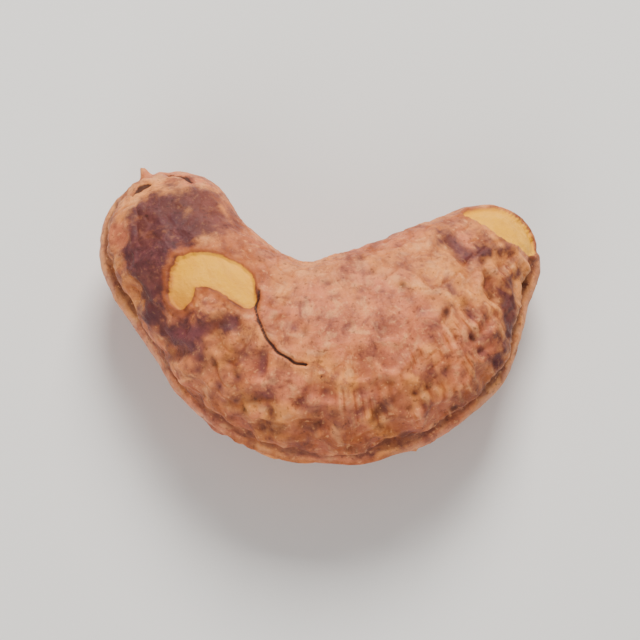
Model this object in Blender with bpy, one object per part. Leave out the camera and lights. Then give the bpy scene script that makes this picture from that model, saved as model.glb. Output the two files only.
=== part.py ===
"""A cashew nut in its thin roasted skin, lying on one broad side.

Metres, +Z up. +X runs along the nut, from the blunt lobe to the narrow one, and the hollow
of the bend opens towards +Y. The origin is under the middle of the nut, on the surface
that it lies on. The sizes below are in millimetres, and MM turns them into metres.
"""

import math

import bmesh
import bpy
from mathutils import Vector, noise
from mathutils.bvhtree import BVHTree

MM = 0.001

# The bend: control points of its spine from the blunt tip to the narrow tip. Each holds
# x, y, half the depth across the bend, and half the thickness.
SPINE = (
    (-9.3, 9.1, 4.0, 3.6),
    (-8.75, 5.2, 4.0, 4.2),
    (-6.9, 2.6, 4.35, 4.7),
    (-5.0, 0.1, 4.9, 5.1),
    (-2.9, -1.7, 5.5, 5.3),
    (-0.1, -2.6, 6.0, 5.4),
    (3.8, -1.95, 6.15, 5.3),
    (7.1, 0.35, 5.8, 4.9),
    (8.9, 2.9, 4.35, 4.1),
    (10.1, 4.4, 3.0, 3.2),
    (12.3, 6.4, 2.7, 2.6),
)
TIP_BACKNESS = 0.8  # how much of the back's relief each tip has
BLUNT_CAP = 4.1  # length over which the section closes at the blunt tip
NARROW_CAP = 2.8  # the same at the narrow tip
SPAN_STEPS = 24  # points worked out on the spine for each pair of control points
EVENING = 4.0  # how far each way a section's direction is taken from, so that none cross

# The section across the spine
SQUARENESS = 2.3  # 2 is an ellipse, more is fuller at the shoulders
INNER_FULLNESS = 0.06  # share by which the hollow's side is thicker than the back
LOBE_DROP = 0.5  # share of a lobe's lesser thickness taken off its top side

# The rim where the two seed halves meet: raised round the back, sunk in the hollow
RIM_LEVEL = 0.1  # how far the rim lies above the middle of the section
RIM_HEIGHT = 0.26
RIM_WIDTH = 0.42
RIM_GROOVE = 0.27  # depth of the groove above the rim
RIM_LOWER_GROOVE = 0.1  # depth of the fainter one below it
RIM_GROOVE_WIDTH = 0.42
RIM_GROOVE_OUT = 1.0
RIM_DRIFT = 0.5  # how far the rim wanders up and down
RIM_UNEVEN = 0.9  # how much its height varies
RIM_PATCHINESS = 2.6  # the length over which it varies
SEAM_DEPTH = 0.25
SEAM_WIDTH = 0.4
BACK_FROM = (-0.1, 0.5)  # over this range of backness the back's relief fades in
HOLLOW_FROM = (0.3, 0.8)  # the same for the seam, the other way
RIM_ENDS = (0.4, 1.0)  # over this range of the section's closing the rim fades out at the tips

# Relief of the shrunken skin
SWELL_HEIGHT = 0.14
SWELL_SIZE = 5.5
NET_HEIGHT = 0.24
NET_SIZE = 1.8
NET_CHEEK_SHARE = 0.4  # share of the net's height that the flat cheeks have
RIB_HEIGHT = 0.1
RIB_PITCH = 2.4
NET_FROM = (0.0, 1.5)  # over this range of distances from the rim the net fades in
NET_LEVEL = 0.4  # where the net's middle height lies between its hollows and its ridges
NET_RIDGE = 0.5  # share of a cell over which its ridge rises
RIB_WANDER = 1.5
SHOULDER_BACK = (0.1, 0.5)  # the ribs lie on the shoulder between the rim and the cheek
SHOULDER_OFF = (0.6, 1.4)
RIB_SHIFT = Vector((7.0, 0.0, 0.0))  # keep the ribs' and the rim's noise apart from the swells'
RIM_SHIFT = Vector((0.0, 7.0, 0.0))

# Dimples, each x, y, z of its middle and its radius
DIMPLE_DEPTH = 0.2
DIMPLES = (
    (-4.7, -4.8, 9.4, 0.45),
    (-5.9, -5.2, 8.5, 0.4),
    (-8.3, -4.0, 7.0, 0.45),
    (-7.2, -5.4, 6.4, 0.4),
    (-5.5, -6.9, 6.1, 0.45),
    (-2.8, -6.8, 8.8, 0.5),
    (-0.2, -6.8, 9.2, 0.5),
    (-0.8, -5.6, 9.8, 0.35),
    (-6.3, -3.6, 9.0, 0.35),
    (-1.5, -2.0, 10.4, 0.4),
    (0.3, -5.8, 9.8, 0.35),
    (0.8, -6.9, 9.1, 0.4),
    (2.4, -5.9, 9.6, 0.45),
    (2.3, -6.8, 9.0, 0.4),
    (3.4, -7.5, 8.2, 0.4),
    (7.2, -4.5, 8.9, 0.45),
    (6.2, -5.3, 8.9, 0.3),
    (5.5, -5.7, 9.0, 0.3),
    (9.4, -2.3, 8.4, 0.4),
    (9.5, -3.0, 8.2, 0.4),
    (8.8, -2.2, 8.8, 0.35),
    (5.8, -0.9, 9.9, 0.35),
    (2.4, 0.3, 10.1, 0.3),
    (0.4, 0.9, 9.8, 0.35),
    (4.5, 3.4, 8.4, 0.35),
    (2.9, 1.5, 9.6, 0.35),
    (9.5, 2.5, 8.0, 0.35),
)

# Folds of the shrunken skin, as routes of x, y, z and half width
FOLD_DEPTH = 0.22
FOLD_EDGE = 0.36
FOLDS = (
    (
        (-9.2, -2.3, 7.4, 0.02),
        (-8.2, -1.9, 8.7, 0.12),
        (-7.1, -1.9, 9.3, 0.15),
        (-6.4, -2.1, 9.6, 0.15),
        (-5.9, -1.5, 9.8, 0.15),
        (-5.4, -1.4, 10.0, 0.1),
        (-4.8, -1.9, 10.1, 0.02),
    ),
    ((-9.2, -3.0, 6.6, 0.02), (-8.5, -3.1, 7.6, 0.15), (-7.6, -2.9, 8.7, 0.05)),
    ((-6.9, -2.7, 9.2, 0.0), (-6.9, -3.3, 9.0, 0.08), (-7.2, -4.2, 8.3, 0.05)),
    ((-5.6, -3.8, 9.4, 0.05), (-5.1, -3.8, 9.7, 0.15), (-4.6, -3.1, 10.0, 0.1)),
    ((-3.3, -3.6, 10.1, 0.02), (-3.4, -4.5, 9.9, 0.02)),
    ((-5.6, -5.9, 8.0, 0.0), (-4.8, -6.0, 8.5, 0.12), (-4.1, -5.9, 9.0, 0.1), (-3.0, -6.0, 9.4, 0.08)),
    ((-3.3, -7.4, 7.9, 0.2), (-2.4, -7.5, 8.1, 0.25)),
    ((-0.8, -7.5, 8.5, 0.25), (-0.1, -7.5, 8.5, 0.15)),
    ((-1.3, -6.4, 9.4, 0.0), (-0.7, -5.9, 9.7, 0.0)),
    ((3.9, -6.1, 9.1, 0.0), (3.5, -6.7, 8.9, 0.08), (3.1, -7.2, 8.5, 0.05)),
    ((8.4, -0.5, 9.1, 0.05), (8.7, -1.1, 9.0, 0.02)),
    ((7.6, 3.8, 8.2, 0.1), (7.9, 2.9, 8.5, 0.2), (8.5, 2.5, 8.4, 0.1)),
    ((9.7, 1.7, 8.1, 0.05), (9.9, 1.1, 8.1, 0.15), (10.2, 0.5, 8.0, 0.1)),
    ((4.0, -8.1, 6.6, 0.1), (4.7, -7.9, 6.7, 0.2), (5.6, -7.5, 6.7, 0.1)),
)

# Places where the skin has come off the kernel, as routes of x, y, z and half width
SKIN_STEP = 0.26
SKIN_EDGE = 0.35
BARE_RAGGED = 0.2  # how far the edge of a bare place wanders
BARE_RAGGED_SIZE = 1.1
BARE_CALM = 0.7  # share of the other relief that a bare place lacks
BARE_PLACES = (
    ((-8.2, -0.1, 9.1, 0.65), (-8.0, 0.5, 9.2, 0.9), (-7.7, 1.4, 9.4, 1.1), (-7.6, 1.7, 9.4, 1.0)),
    ((-8.1, 2.2, 9.2, 0.45), (-7.2, 2.0, 9.5, 0.6), (-6.0, 2.1, 9.6, 0.65), (-5.0, 1.7, 9.8, 0.6)),
    (
        (-7.4, 1.4, 9.5, 1.1),
        (-6.3, 1.6, 9.7, 1.15),
        (-5.3, 1.3, 9.9, 1.15),
        (-4.6, 0.4, 10.1, 0.95),
        (-4.2, -0.4, 10.2, 0.6),
    ),
    (
        (8.8, 5.8, 6.3, 0.5),
        (10.1, 5.6, 6.1, 1.3),
        (11.3, 5.2, 5.8, 1.7),
        (12.2, 4.8, 5.3, 1.3),
        (12.8, 4.4, 4.7, 0.7),
    ),
    ((6.6, 2.6, 0.2, 0.7), (7.8, 2.3, 0.3, 1.0), (9.0, 1.7, 0.8, 0.6)),
)

# The crack in the skin, seen from above as x, y
CRACK = ((-3.5, 0.2), (-3.8, -0.9), (-3.5, -1.9), (-3.0, -2.9), (-2.4, -3.6), (-1.6, -4.1), (-0.8, -4.3))
CRACK_RADIUS = 0.17
CRACK_SINK = 0.04  # how far the groove's middle lies under the surface
CRACK_STEPS = 5
ROUTE_STEPS = 5  # points worked out on a route for each pair of its control points

FLAT_DEPTH = 0.3  # how much of the underside is pressed flat where the nut rests
ABOVE = 30.0  # a height well clear of the nut
WELD = 0.001

AROUND = 84  # faces round the section
ALONG = 64  # faces from tip to tip
CROWDING = 0.3  # how much closer the faces lie at the back than in the hollow

SKIN_COLOUR = (0.50, 0.24, 0.13, 1.0)
SKIN_ROUGHNESS = 0.5


def smooth_step(low, high, value):
    """0 below low, 1 above high, and a smooth rise between."""
    share = min(max((value - low) / (high - low), 0.0), 1.0)
    return share * share * (3.0 - 2.0 * share)


def bump(distance, width):
    """A rounded ridge of height 1, about twice the width across."""
    return math.exp(-((distance / width) ** 2))


def smooth_curve(control, steps):
    """Points on the even cubic curve that the control points draw, from the first to the last."""
    first = [2.0 * a - b for a, b in zip(control[0], control[1])]
    last = [2.0 * a - b for a, b in zip(control[-1], control[-2])]
    rows = [first, *control, last]
    curve = []
    for span in range(len(control) - 1):
        closing = span == len(control) - 2
        for step in range(steps + closing):
            u = step / steps
            weights = (
                (1.0 - u) ** 3 / 6.0,
                (3.0 * u**3 - 6.0 * u**2 + 4.0) / 6.0,
                (-3.0 * u**3 + 3.0 * u**2 + 3.0 * u + 1.0) / 6.0,
                u**3 / 6.0,
            )
            near = zip(*rows[span : span + 4])
            curve.append([sum(w * value for w, value in zip(weights, column)) for column in near])
    return curve


class Spine:
    """The bend's spine, read at any distance from the blunt tip."""

    def __init__(self):
        rows = smooth_curve(SPINE, SPAN_STEPS)
        travelled = [0.0]
        for before, here in zip(rows, rows[1:]):
            travelled.append(travelled[-1] + math.dist(before[:2], here[:2]))
        self.curve = [(distance, *row) for distance, row in zip(travelled, rows)]
        self.length = travelled[-1]
        self.thickest = max(row[4] for row in self.curve)

    def at(self, distance):
        """x, y, half depth and half thickness."""
        low, high = 0, len(self.curve) - 1
        while high - low > 1:
            middle = (low + high) // 2
            if self.curve[middle][0] > distance:
                high = middle
            else:
                low = middle
        before, after = self.curve[low], self.curve[high]
        share = (distance - before[0]) / (after[0] - before[0])
        return [a + (b - a) * share for a, b in zip(before[1:], after[1:])]

    def outward(self, distance):
        """The unit direction across the spine towards the back, evened out along the bend."""
        before = self.at(max(distance - EVENING, 0.0))
        after = self.at(min(distance + EVENING, self.length))
        return Vector((after[1] - before[1], before[0] - after[0])).normalized()


def place(spine, polar, azimuth):
    """A point of the plain nut, with what its relief is worked out from."""
    blunt_arc = 0.5 * math.pi * BLUNT_CAP
    narrow_arc = 0.5 * math.pi * NARROW_CAP
    straight = spine.length - BLUNT_CAP - NARROW_CAP
    walked = polar / math.pi * (blunt_arc + straight + narrow_arc)
    if walked < blunt_arc:
        closing = math.sin(walked / BLUNT_CAP)
        distance = BLUNT_CAP * (1.0 - math.cos(walked / BLUNT_CAP))
    elif walked < blunt_arc + straight:
        closing = 1.0
        distance = BLUNT_CAP + walked - blunt_arc
    else:
        left = max(blunt_arc + straight + narrow_arc - walked, 0.0) / NARROW_CAP
        closing = math.sin(left)
        distance = spine.length - NARROW_CAP * (1.0 - math.cos(left))
    x, y, depth, thickness = spine.at(distance)
    outward = spine.outward(distance)
    turn = azimuth - CROWDING * math.sin(azimuth)
    power = 2.0 + (SQUARENESS - 2.0) * closing
    size = (abs(math.cos(turn)) ** power + abs(math.sin(turn)) ** power) ** (-1.0 / power)
    across = closing * depth * size * math.cos(turn)
    up = closing * thickness * size * math.sin(turn)
    up *= 1.0 - INNER_FULLNESS * math.cos(turn)
    middle = spine.thickest - LOBE_DROP * (spine.thickest - thickness)
    point = Vector((x + outward.x * across, y + outward.y * across, middle + up))
    backness = closing * math.cos(turn) + TIP_BACKNESS * (1.0 - closing)
    return point, {"distance": distance, "up": up, "closing": closing, "backness": backness}


def rim_relief(point, facts, side):
    """The raised rim round the back between its two grooves, and the seam in the hollow."""
    off = abs(side)
    groove = RIM_GROOVE if side > 0.0 else RIM_LOWER_GROOVE
    uneven = 1.0 + RIM_UNEVEN * noise.noise(point / RIM_PATCHINESS)
    rim = RIM_HEIGHT * bump(off, RIM_WIDTH)
    rim -= groove * bump(off - RIM_GROOVE_OUT, RIM_GROOVE_WIDTH)
    seam = -SEAM_DEPTH * bump(off, SEAM_WIDTH)
    on_back = smooth_step(*BACK_FROM, facts["backness"]) * smooth_step(*RIM_ENDS, facts["closing"])
    in_hollow = smooth_step(*HOLLOW_FROM, -facts["backness"])
    return (rim * on_back + seam * in_hollow) * uneven


def skin_relief(point, facts, off, folds):
    """Swells, the raised net between hollows, the ribs that run in from the rim, and the dents."""
    swell = SWELL_HEIGHT * noise.noise(point / SWELL_SIZE)
    near, next_near = noise.voronoi(point / NET_SIZE)[0][:2]
    flank = smooth_step(*BACK_FROM, facts["backness"])
    amount = smooth_step(*NET_FROM, off) * (NET_CHEEK_SHARE + (1.0 - NET_CHEEK_SHARE) * flank)
    net = NET_HEIGHT * (NET_LEVEL - smooth_step(0.0, NET_RIDGE, next_near - near)) * amount
    wander = RIB_WANDER * noise.noise(point / SWELL_SIZE + RIB_SHIFT)
    rib = RIB_HEIGHT * math.sin(2.0 * math.pi * facts["distance"] / RIB_PITCH + wander)
    shoulder = smooth_step(*SHOULDER_BACK, facts["backness"]) * smooth_step(*SHOULDER_OFF, off)
    dimple = max(bump((point - Vector(ball[:3])).length, ball[3]) for ball in DIMPLES)
    fold = max(bump(max(gap_to_route(point, route), 0.0), FOLD_EDGE) for route in folds)
    return swell + net + rib * shoulder - max(DIMPLE_DEPTH * dimple, FOLD_DEPTH * fold)


def gap_to_route(point, route):
    """Distance from a point to a route, less the route's own half width there."""
    nearest = math.inf
    for start, end in zip(route, route[1:]):
        middle = Vector(start[:3])
        along = Vector(end[:3]) - middle
        share = min(max((point - middle).dot(along) / along.length_squared, 0.0), 1.0)
        half_width = start[3] + share * (end[3] - start[3])
        nearest = min(nearest, (point - middle - share * along).length - half_width)
    return nearest


def bareness(point, routes):
    """1 where the skin is missing, 0 where it is whole."""
    edge = min(gap_to_route(point, route) for route in routes)
    edge += BARE_RAGGED * noise.noise(point / BARE_RAGGED_SIZE)
    return 1.0 - smooth_step(-SKIN_EDGE, 0.0, edge)


def nut_shape():
    """The nut in millimetres, drawn out of a sphere whose poles are the two tips."""
    spine = Spine()
    shape = bmesh.new()
    bmesh.ops.create_uvsphere(shape, u_segments=AROUND, v_segments=ALONG, radius=1.0)
    facts = []
    for vertex in shape.verts:
        polar = math.acos(min(max(vertex.co.z, -1.0), 1.0))
        point, found = place(spine, polar, math.atan2(vertex.co.y, vertex.co.x))
        vertex.co = point
        facts.append(found)
    bmesh.ops.recalc_face_normals(shape, faces=shape.faces)
    shape.normal_update()
    centre_on_surface(shape)
    bare_routes = [smooth_curve(place_on, ROUTE_STEPS) for place_on in BARE_PLACES]
    folds = [smooth_curve(fold, ROUTE_STEPS) for fold in FOLDS]
    heights = []
    for vertex, found in zip(shape.verts, facts):
        bare = bareness(vertex.co, bare_routes)
        level = RIM_LEVEL + RIM_DRIFT * noise.noise(vertex.co / SWELL_SIZE + RIM_SHIFT)
        side = found["up"] - level
        relief = rim_relief(vertex.co, found, side) + skin_relief(vertex.co, found, abs(side), folds)
        heights.append(relief * (1.0 - BARE_CALM * bare) - SKIN_STEP * bare)
    for vertex, height in zip(shape.verts, heights):
        vertex.co += vertex.normal * height
    centre_on_surface(shape)
    for vertex in shape.verts:
        vertex.co.z = max(vertex.co.z, 0.0)
    return shape


def centre_on_surface(shape):
    """Moves the nut over the origin, with its lowest point FLAT_DEPTH under height 0."""
    extents = [(min(row), max(row)) for row in zip(*(vertex.co for vertex in shape.verts))]
    (west, east), (south, north), (bottom, _) = extents
    move = Vector((-0.5 * (west + east), -0.5 * (south + north), -bottom - FLAT_DEPTH))
    bmesh.ops.translate(shape, vec=move, verts=shape.verts)


def make_nut(shape, collection):
    """The nut as an object in metres."""
    bmesh.ops.scale(shape, vec=(MM, MM, MM), verts=shape.verts)
    mesh = bpy.data.meshes.new("cashew_nut")
    shape.to_mesh(mesh)
    mesh.shade_smooth()
    nut = bpy.data.objects.new("cashew_nut", mesh)
    collection.objects.link(nut)
    return nut


def crack_route(shape):
    """The crack's points in metres, laid on the upper surface of the nut."""
    surface = BVHTree.FromBMesh(shape)
    route = []
    for x, y in smooth_curve(CRACK, CRACK_STEPS):
        hit = surface.ray_cast(Vector((x, y, ABOVE)), Vector((0.0, 0.0, -1.0)))[0]
        route.append((hit - Vector((0.0, 0.0, CRACK_SINK))) * MM)
    return route


def make_crack_cutter(route, collection):
    """A thin bent rod along the crack, as a closed mesh."""
    curve = bpy.data.curves.new("crack_rod", "CURVE")
    curve.dimensions = "3D"
    curve.bevel_depth = CRACK_RADIUS * MM
    curve.bevel_resolution = 1
    curve.use_fill_caps = True
    spline = curve.splines.new("POLY")
    spline.points.add(len(route) - 1)
    for point, place_on in zip(spline.points, route):
        point.co = (*place_on, 1.0)
    rod = bpy.data.objects.new("crack_rod", curve)
    collection.objects.link(rod)
    bpy.context.view_layer.update()
    evaluated = rod.evaluated_get(bpy.context.evaluated_depsgraph_get())
    mesh = bpy.data.meshes.new_from_object(evaluated)
    closed = bmesh.new()
    closed.from_mesh(mesh)
    bmesh.ops.remove_doubles(closed, verts=closed.verts, dist=WELD * MM)
    bmesh.ops.recalc_face_normals(closed, faces=closed.faces)
    closed.to_mesh(mesh)
    closed.free()
    cutter = bpy.data.objects.new("crack_cutter", mesh)
    cutter.matrix_world = rod.matrix_world
    cutter.hide_render = True
    cutter.display_type = "WIRE"
    collection.objects.link(cutter)
    bpy.data.objects.remove(rod, do_unlink=True)
    return cutter


def cut(nut, cutter):
    """Takes the cutter's shape out of the nut."""
    boolean = nut.modifiers.new(cutter.name, "BOOLEAN")
    boolean.operation = "DIFFERENCE"
    boolean.solver = "EXACT"
    boolean.object = cutter


def skin_material():
    material = bpy.data.materials.new("roasted_skin")
    material.use_nodes = True
    shader = material.node_tree.nodes["Principled BSDF"]
    shader.inputs["Base Color"].default_value = SKIN_COLOUR
    shader.inputs["Roughness"].default_value = SKIN_ROUGHNESS
    shader.inputs["Metallic"].default_value = 0.0
    return material


def clear_scene():
    for thing in list(bpy.data.objects):
        bpy.data.objects.remove(thing, do_unlink=True)


def new_collection(name):
    collection = bpy.data.collections.new(name)
    bpy.context.scene.collection.children.link(collection)
    return collection


def main():
    clear_scene()
    shape = nut_shape()
    route = crack_route(shape)
    nut = make_nut(shape, new_collection("cashew nut"))
    shape.free()
    cut(nut, make_crack_cutter(route, new_collection("cutters")))
    nut.data.materials.append(skin_material())


main()
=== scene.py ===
import math

import bmesh
import bpy
import numpy as np
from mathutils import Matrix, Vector, noise


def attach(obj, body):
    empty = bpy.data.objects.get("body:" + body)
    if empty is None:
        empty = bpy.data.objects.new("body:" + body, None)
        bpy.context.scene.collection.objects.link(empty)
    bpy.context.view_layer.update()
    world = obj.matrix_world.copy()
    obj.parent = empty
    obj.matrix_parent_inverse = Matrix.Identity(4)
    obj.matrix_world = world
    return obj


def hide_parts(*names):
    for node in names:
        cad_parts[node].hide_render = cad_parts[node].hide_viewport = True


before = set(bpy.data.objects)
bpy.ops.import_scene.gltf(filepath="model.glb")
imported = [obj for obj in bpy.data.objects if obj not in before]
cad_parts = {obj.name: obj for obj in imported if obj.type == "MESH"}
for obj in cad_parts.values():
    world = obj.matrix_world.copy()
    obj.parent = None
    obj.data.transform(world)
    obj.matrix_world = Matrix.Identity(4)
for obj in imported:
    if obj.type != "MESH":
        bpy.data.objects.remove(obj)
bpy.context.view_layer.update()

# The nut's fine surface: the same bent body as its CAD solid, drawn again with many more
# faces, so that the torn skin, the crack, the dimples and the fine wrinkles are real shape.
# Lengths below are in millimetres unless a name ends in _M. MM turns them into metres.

MM = 0.001

# The bend, as in the CAD solid: control points of its spine from the blunt tip to the
# narrow tip, each x, y, half the depth across the bend, and half the thickness
SPINE = (
    (-9.3, 9.1, 4.0, 3.6),
    (-8.75, 5.2, 4.0, 4.2),
    (-6.9, 2.6, 4.35, 4.7),
    (-5.0, 0.1, 4.9, 5.1),
    (-2.9, -1.7, 5.5, 5.3),
    (-0.1, -2.6, 6.0, 5.4),
    (3.8, -1.95, 6.15, 5.3),
    (7.1, 0.35, 5.8, 4.9),
    (8.9, 2.9, 4.35, 4.1),
    (10.1, 4.4, 3.0, 3.2),
    (12.3, 6.4, 2.7, 2.6),
)
TIP_BACKNESS = 0.8
BLUNT_CAP = 4.1
NARROW_CAP = 2.8
SPAN_STEPS = 40
EVENING = 4.0
SQUARENESS = 2.3
INNER_FULLNESS = 0.06
LOBE_DROP = 0.5
CROWDING = 0.3
FLAT_DEPTH = 0.3

# Faces round the section and from tip to tip
AROUND = 420
ALONG = 236

# Relief that the CAD solid has too
RIM_LEVEL = 0.1
RIM_HEIGHT = 0.26
RIM_WIDTH = 0.42
RIM_GROOVE = 0.27
RIM_LOWER_GROOVE = 0.1
RIM_GROOVE_WIDTH = 0.42
RIM_GROOVE_OUT = 1.0
RIM_DRIFT = 0.5
RIM_UNEVEN = 0.9
RIM_PATCHINESS = 2.6
SEAM_DEPTH = 0.25
SEAM_WIDTH = 0.4
BACK_FROM = (-0.1, 0.5)
HOLLOW_FROM = (0.3, 0.8)
RIM_ENDS = (0.4, 1.0)
SWELL_HEIGHT = 0.14
SWELL_SIZE = 5.5
NET_HEIGHT = 0.24
NET_SIZE = 1.8
NET_CHEEK_SHARE = 0.4
RIB_HEIGHT = 0.1
RIB_PITCH = 2.4
NET_FROM = (0.0, 1.5)
NET_LEVEL = 0.4
NET_RIDGE = 0.5
RIB_WANDER = 1.5
SHOULDER_BACK = (0.1, 0.5)
SHOULDER_OFF = (0.6, 1.4)
RIB_SHIFT = np.array([7.0, 0.0, 0.0])
RIM_SHIFT = np.array([0.0, 7.0, 0.0])
DIMPLE_DEPTH = 0.2
DIMPLES = (
    (-4.7, -4.8, 9.4, 0.45),
    (-5.9, -5.2, 8.5, 0.4),
    (-8.3, -4.0, 7.0, 0.45),
    (-7.2, -5.4, 6.4, 0.4),
    (-5.5, -6.9, 6.1, 0.45),
    (-2.8, -6.8, 8.8, 0.5),
    (-0.2, -6.8, 9.2, 0.5),
    (-0.8, -5.6, 9.8, 0.35),
    (-6.3, -3.6, 9.0, 0.35),
    (-1.5, -2.0, 10.4, 0.4),
    (0.3, -5.8, 9.8, 0.35),
    (0.8, -6.9, 9.1, 0.4),
    (2.4, -5.9, 9.6, 0.45),
    (2.3, -6.8, 9.0, 0.4),
    (3.4, -7.5, 8.2, 0.4),
    (7.2, -4.5, 8.9, 0.45),
    (6.2, -5.3, 8.9, 0.3),
    (5.5, -5.7, 9.0, 0.3),
    (9.4, -2.3, 8.4, 0.4),
    (9.5, -3.0, 8.2, 0.4),
    (8.8, -2.2, 8.8, 0.35),
    (5.8, -0.9, 9.9, 0.35),
    (2.4, 0.3, 10.1, 0.3),
    (0.4, 0.9, 9.8, 0.35),
    (4.5, 3.4, 8.4, 0.35),
    (2.9, 1.5, 9.6, 0.35),
    (9.5, 2.5, 8.0, 0.35),
)
FOLD_DEPTH = 0.22
FOLD_EDGE = 0.36
FOLDS = (
    (
        (-9.2, -2.3, 7.4, 0.02),
        (-8.2, -1.9, 8.7, 0.12),
        (-7.1, -1.9, 9.3, 0.15),
        (-6.4, -2.1, 9.6, 0.15),
        (-5.9, -1.5, 9.8, 0.15),
        (-5.4, -1.4, 10.0, 0.1),
        (-4.8, -1.9, 10.1, 0.02),
    ),
    ((-9.2, -3.0, 6.6, 0.02), (-8.5, -3.1, 7.6, 0.15), (-7.6, -2.9, 8.7, 0.05)),
    ((-6.9, -2.7, 9.2, 0.0), (-6.9, -3.3, 9.0, 0.08), (-7.2, -4.2, 8.3, 0.05)),
    ((-5.6, -3.8, 9.4, 0.05), (-5.1, -3.8, 9.7, 0.15), (-4.6, -3.1, 10.0, 0.1)),
    ((-3.3, -3.6, 10.1, 0.02), (-3.4, -4.5, 9.9, 0.02)),
    ((-5.6, -5.9, 8.0, 0.0), (-4.8, -6.0, 8.5, 0.12), (-4.1, -5.9, 9.0, 0.1), (-3.0, -6.0, 9.4, 0.08)),
    ((-3.3, -7.4, 7.9, 0.2), (-2.4, -7.5, 8.1, 0.25)),
    ((-0.8, -7.5, 8.5, 0.25), (-0.1, -7.5, 8.5, 0.15)),
    ((-1.3, -6.4, 9.4, 0.0), (-0.7, -5.9, 9.7, 0.0)),
    ((3.9, -6.1, 9.1, 0.0), (3.5, -6.7, 8.9, 0.08), (3.1, -7.2, 8.5, 0.05)),
    ((8.4, -0.5, 9.1, 0.05), (8.7, -1.1, 9.0, 0.02)),
    ((7.6, 3.8, 8.2, 0.1), (7.9, 2.9, 8.5, 0.2), (8.5, 2.5, 8.4, 0.1)),
    ((9.7, 1.7, 8.1, 0.05), (9.9, 1.1, 8.1, 0.15), (10.2, 0.5, 8.0, 0.1)),
    ((4.0, -8.1, 6.6, 0.1), (4.7, -7.9, 6.7, 0.2), (5.6, -7.5, 6.7, 0.1)),
)

# The torn skin: routes of x, y, z and half width, along which the pale kernel shows
SKIN_STEP = 0.26
SKIN_EDGE = 0.12
BARE_RAGGED = 0.2
BARE_RAGGED_SIZE = 1.1
BARE_CALM = 0.7
BARE_PLACES = (
    ((-8.2, -0.1, 9.1, 0.65), (-8.0, 0.5, 9.2, 0.9), (-7.7, 1.4, 9.4, 1.1), (-7.6, 1.7, 9.4, 1.0)),
    ((-8.1, 2.2, 9.2, 0.45), (-7.2, 2.0, 9.5, 0.6), (-6.0, 2.1, 9.6, 0.65), (-5.0, 1.7, 9.8, 0.6)),
    (
        (-7.4, 1.4, 9.5, 1.1),
        (-6.3, 1.6, 9.7, 1.15),
        (-5.3, 1.3, 9.9, 1.15),
        (-4.6, 0.4, 10.1, 0.95),
        (-4.2, -0.4, 10.2, 0.6),
    ),
    (
        (8.8, 5.8, 6.3, 0.5),
        (10.1, 5.6, 6.1, 1.3),
        (11.3, 5.2, 5.8, 1.7),
        (12.2, 4.8, 5.3, 1.3),
        (12.8, 4.4, 4.7, 0.7),
    ),
    ((6.6, 2.6, 0.2, 0.7), (7.8, 2.3, 0.3, 1.0), (9.0, 1.7, 0.8, 0.6)),
)

# Finer relief, which only this surface has: height or depth, size, and where it lies. A range
# named PATCHES or FROM is the stretch of its noise, or of its measure, over which it comes in.
WARP = 0.6
WARP_SIZE = 1.7
WRINKLE_HEIGHT = 0.07
WRINKLE_SIZES = np.array([0.45, 3.2, 3.2])  # along the nut, across it and up
WRINKLE_EVERYWHERE = 0.5
WRINKLE_MORE_ON_SHOULDER = 0.8
STRIPE_HEIGHT = 0.04
STRIPE_PITCH = 0.48
STRIPE_WANDER = 9.0
STRIPE_WANDER_SIZE = 2.3
STRIPE_PATCH_SIZE = 1.4
STRIPE_PATCHES = (-0.3, 0.2)
STRIPE_FROM_X = (-3.0, 2.0)
CREASE_DEPTH = 0.08
CREASE_SIZE = 1.3
CREASE_WIDTH = 0.07
CREASE_PATCH_SIZE = 3.1
CREASE_PATCHES = (-0.1, 0.25)
PEBBLE_HEIGHT = 0.035
PEBBLE_SIZE = 0.5
PIT_DEPTH = 0.13
PIT_SIZE = 1.25
PIT_WIDTH = 0.24
PIT_LEAST = 0.7  # the narrowest pit's share of that width, and how much more the widest has
PIT_MORE = 0.6
PIT_SHARE = 0.55
CELL_SPREAD = 7.31  # sets a cell's chance apart from its neighbours' chances
PIT_PATCH_SIZE = 4.3
PIT_PATCHES = (-0.25, 0.15)
PIT_MORE_ON_SHOULDER = 0.25
LIP_HEIGHT = 0.06
LIP_WIDTH = 0.14
LIP_EVENNESS = 0.7
LIP_UNEVEN_SIZE = 0.8
TEAR_NOISES = ((0.07, 0.32, "tear"), (0.03, 0.14, "fine tear"))
KERNEL_WAVE = 0.03
KERNEL_WAVE_SIZE = 0.9
KERNEL_GRAIN = 0.015
KERNEL_GRAIN_SIZES = 0.6 * WRINKLE_SIZES

# Each noise is read this far from the others, so that no two of them are alike
SHIFTS = {
    "wrinkle": 4.0,
    "tear": 5.0,
    "fine tear": 6.0,
    "crack x": 3.0,
    "crack y": 9.0,
    "warp": (11.0, 13.0, 17.0),
    "pebble": 21.0,
    "fine pebble": 22.0,
    "lip": 31.0,
    "stripe": 33.0,
    "stripe patch": 34.0,
    "slit": 35.0,
    "flank": 36.0,
    "pit": 40.0,
    "kernel wave": 41.0,
    "kernel grain": 42.0,
    "crease": 51.0,
    "crease patch": 52.0,
    "pit patch": 61.0,
    "purple": 71.0,
    "pale": 75.0,
    "orange": 79.0,
}

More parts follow.
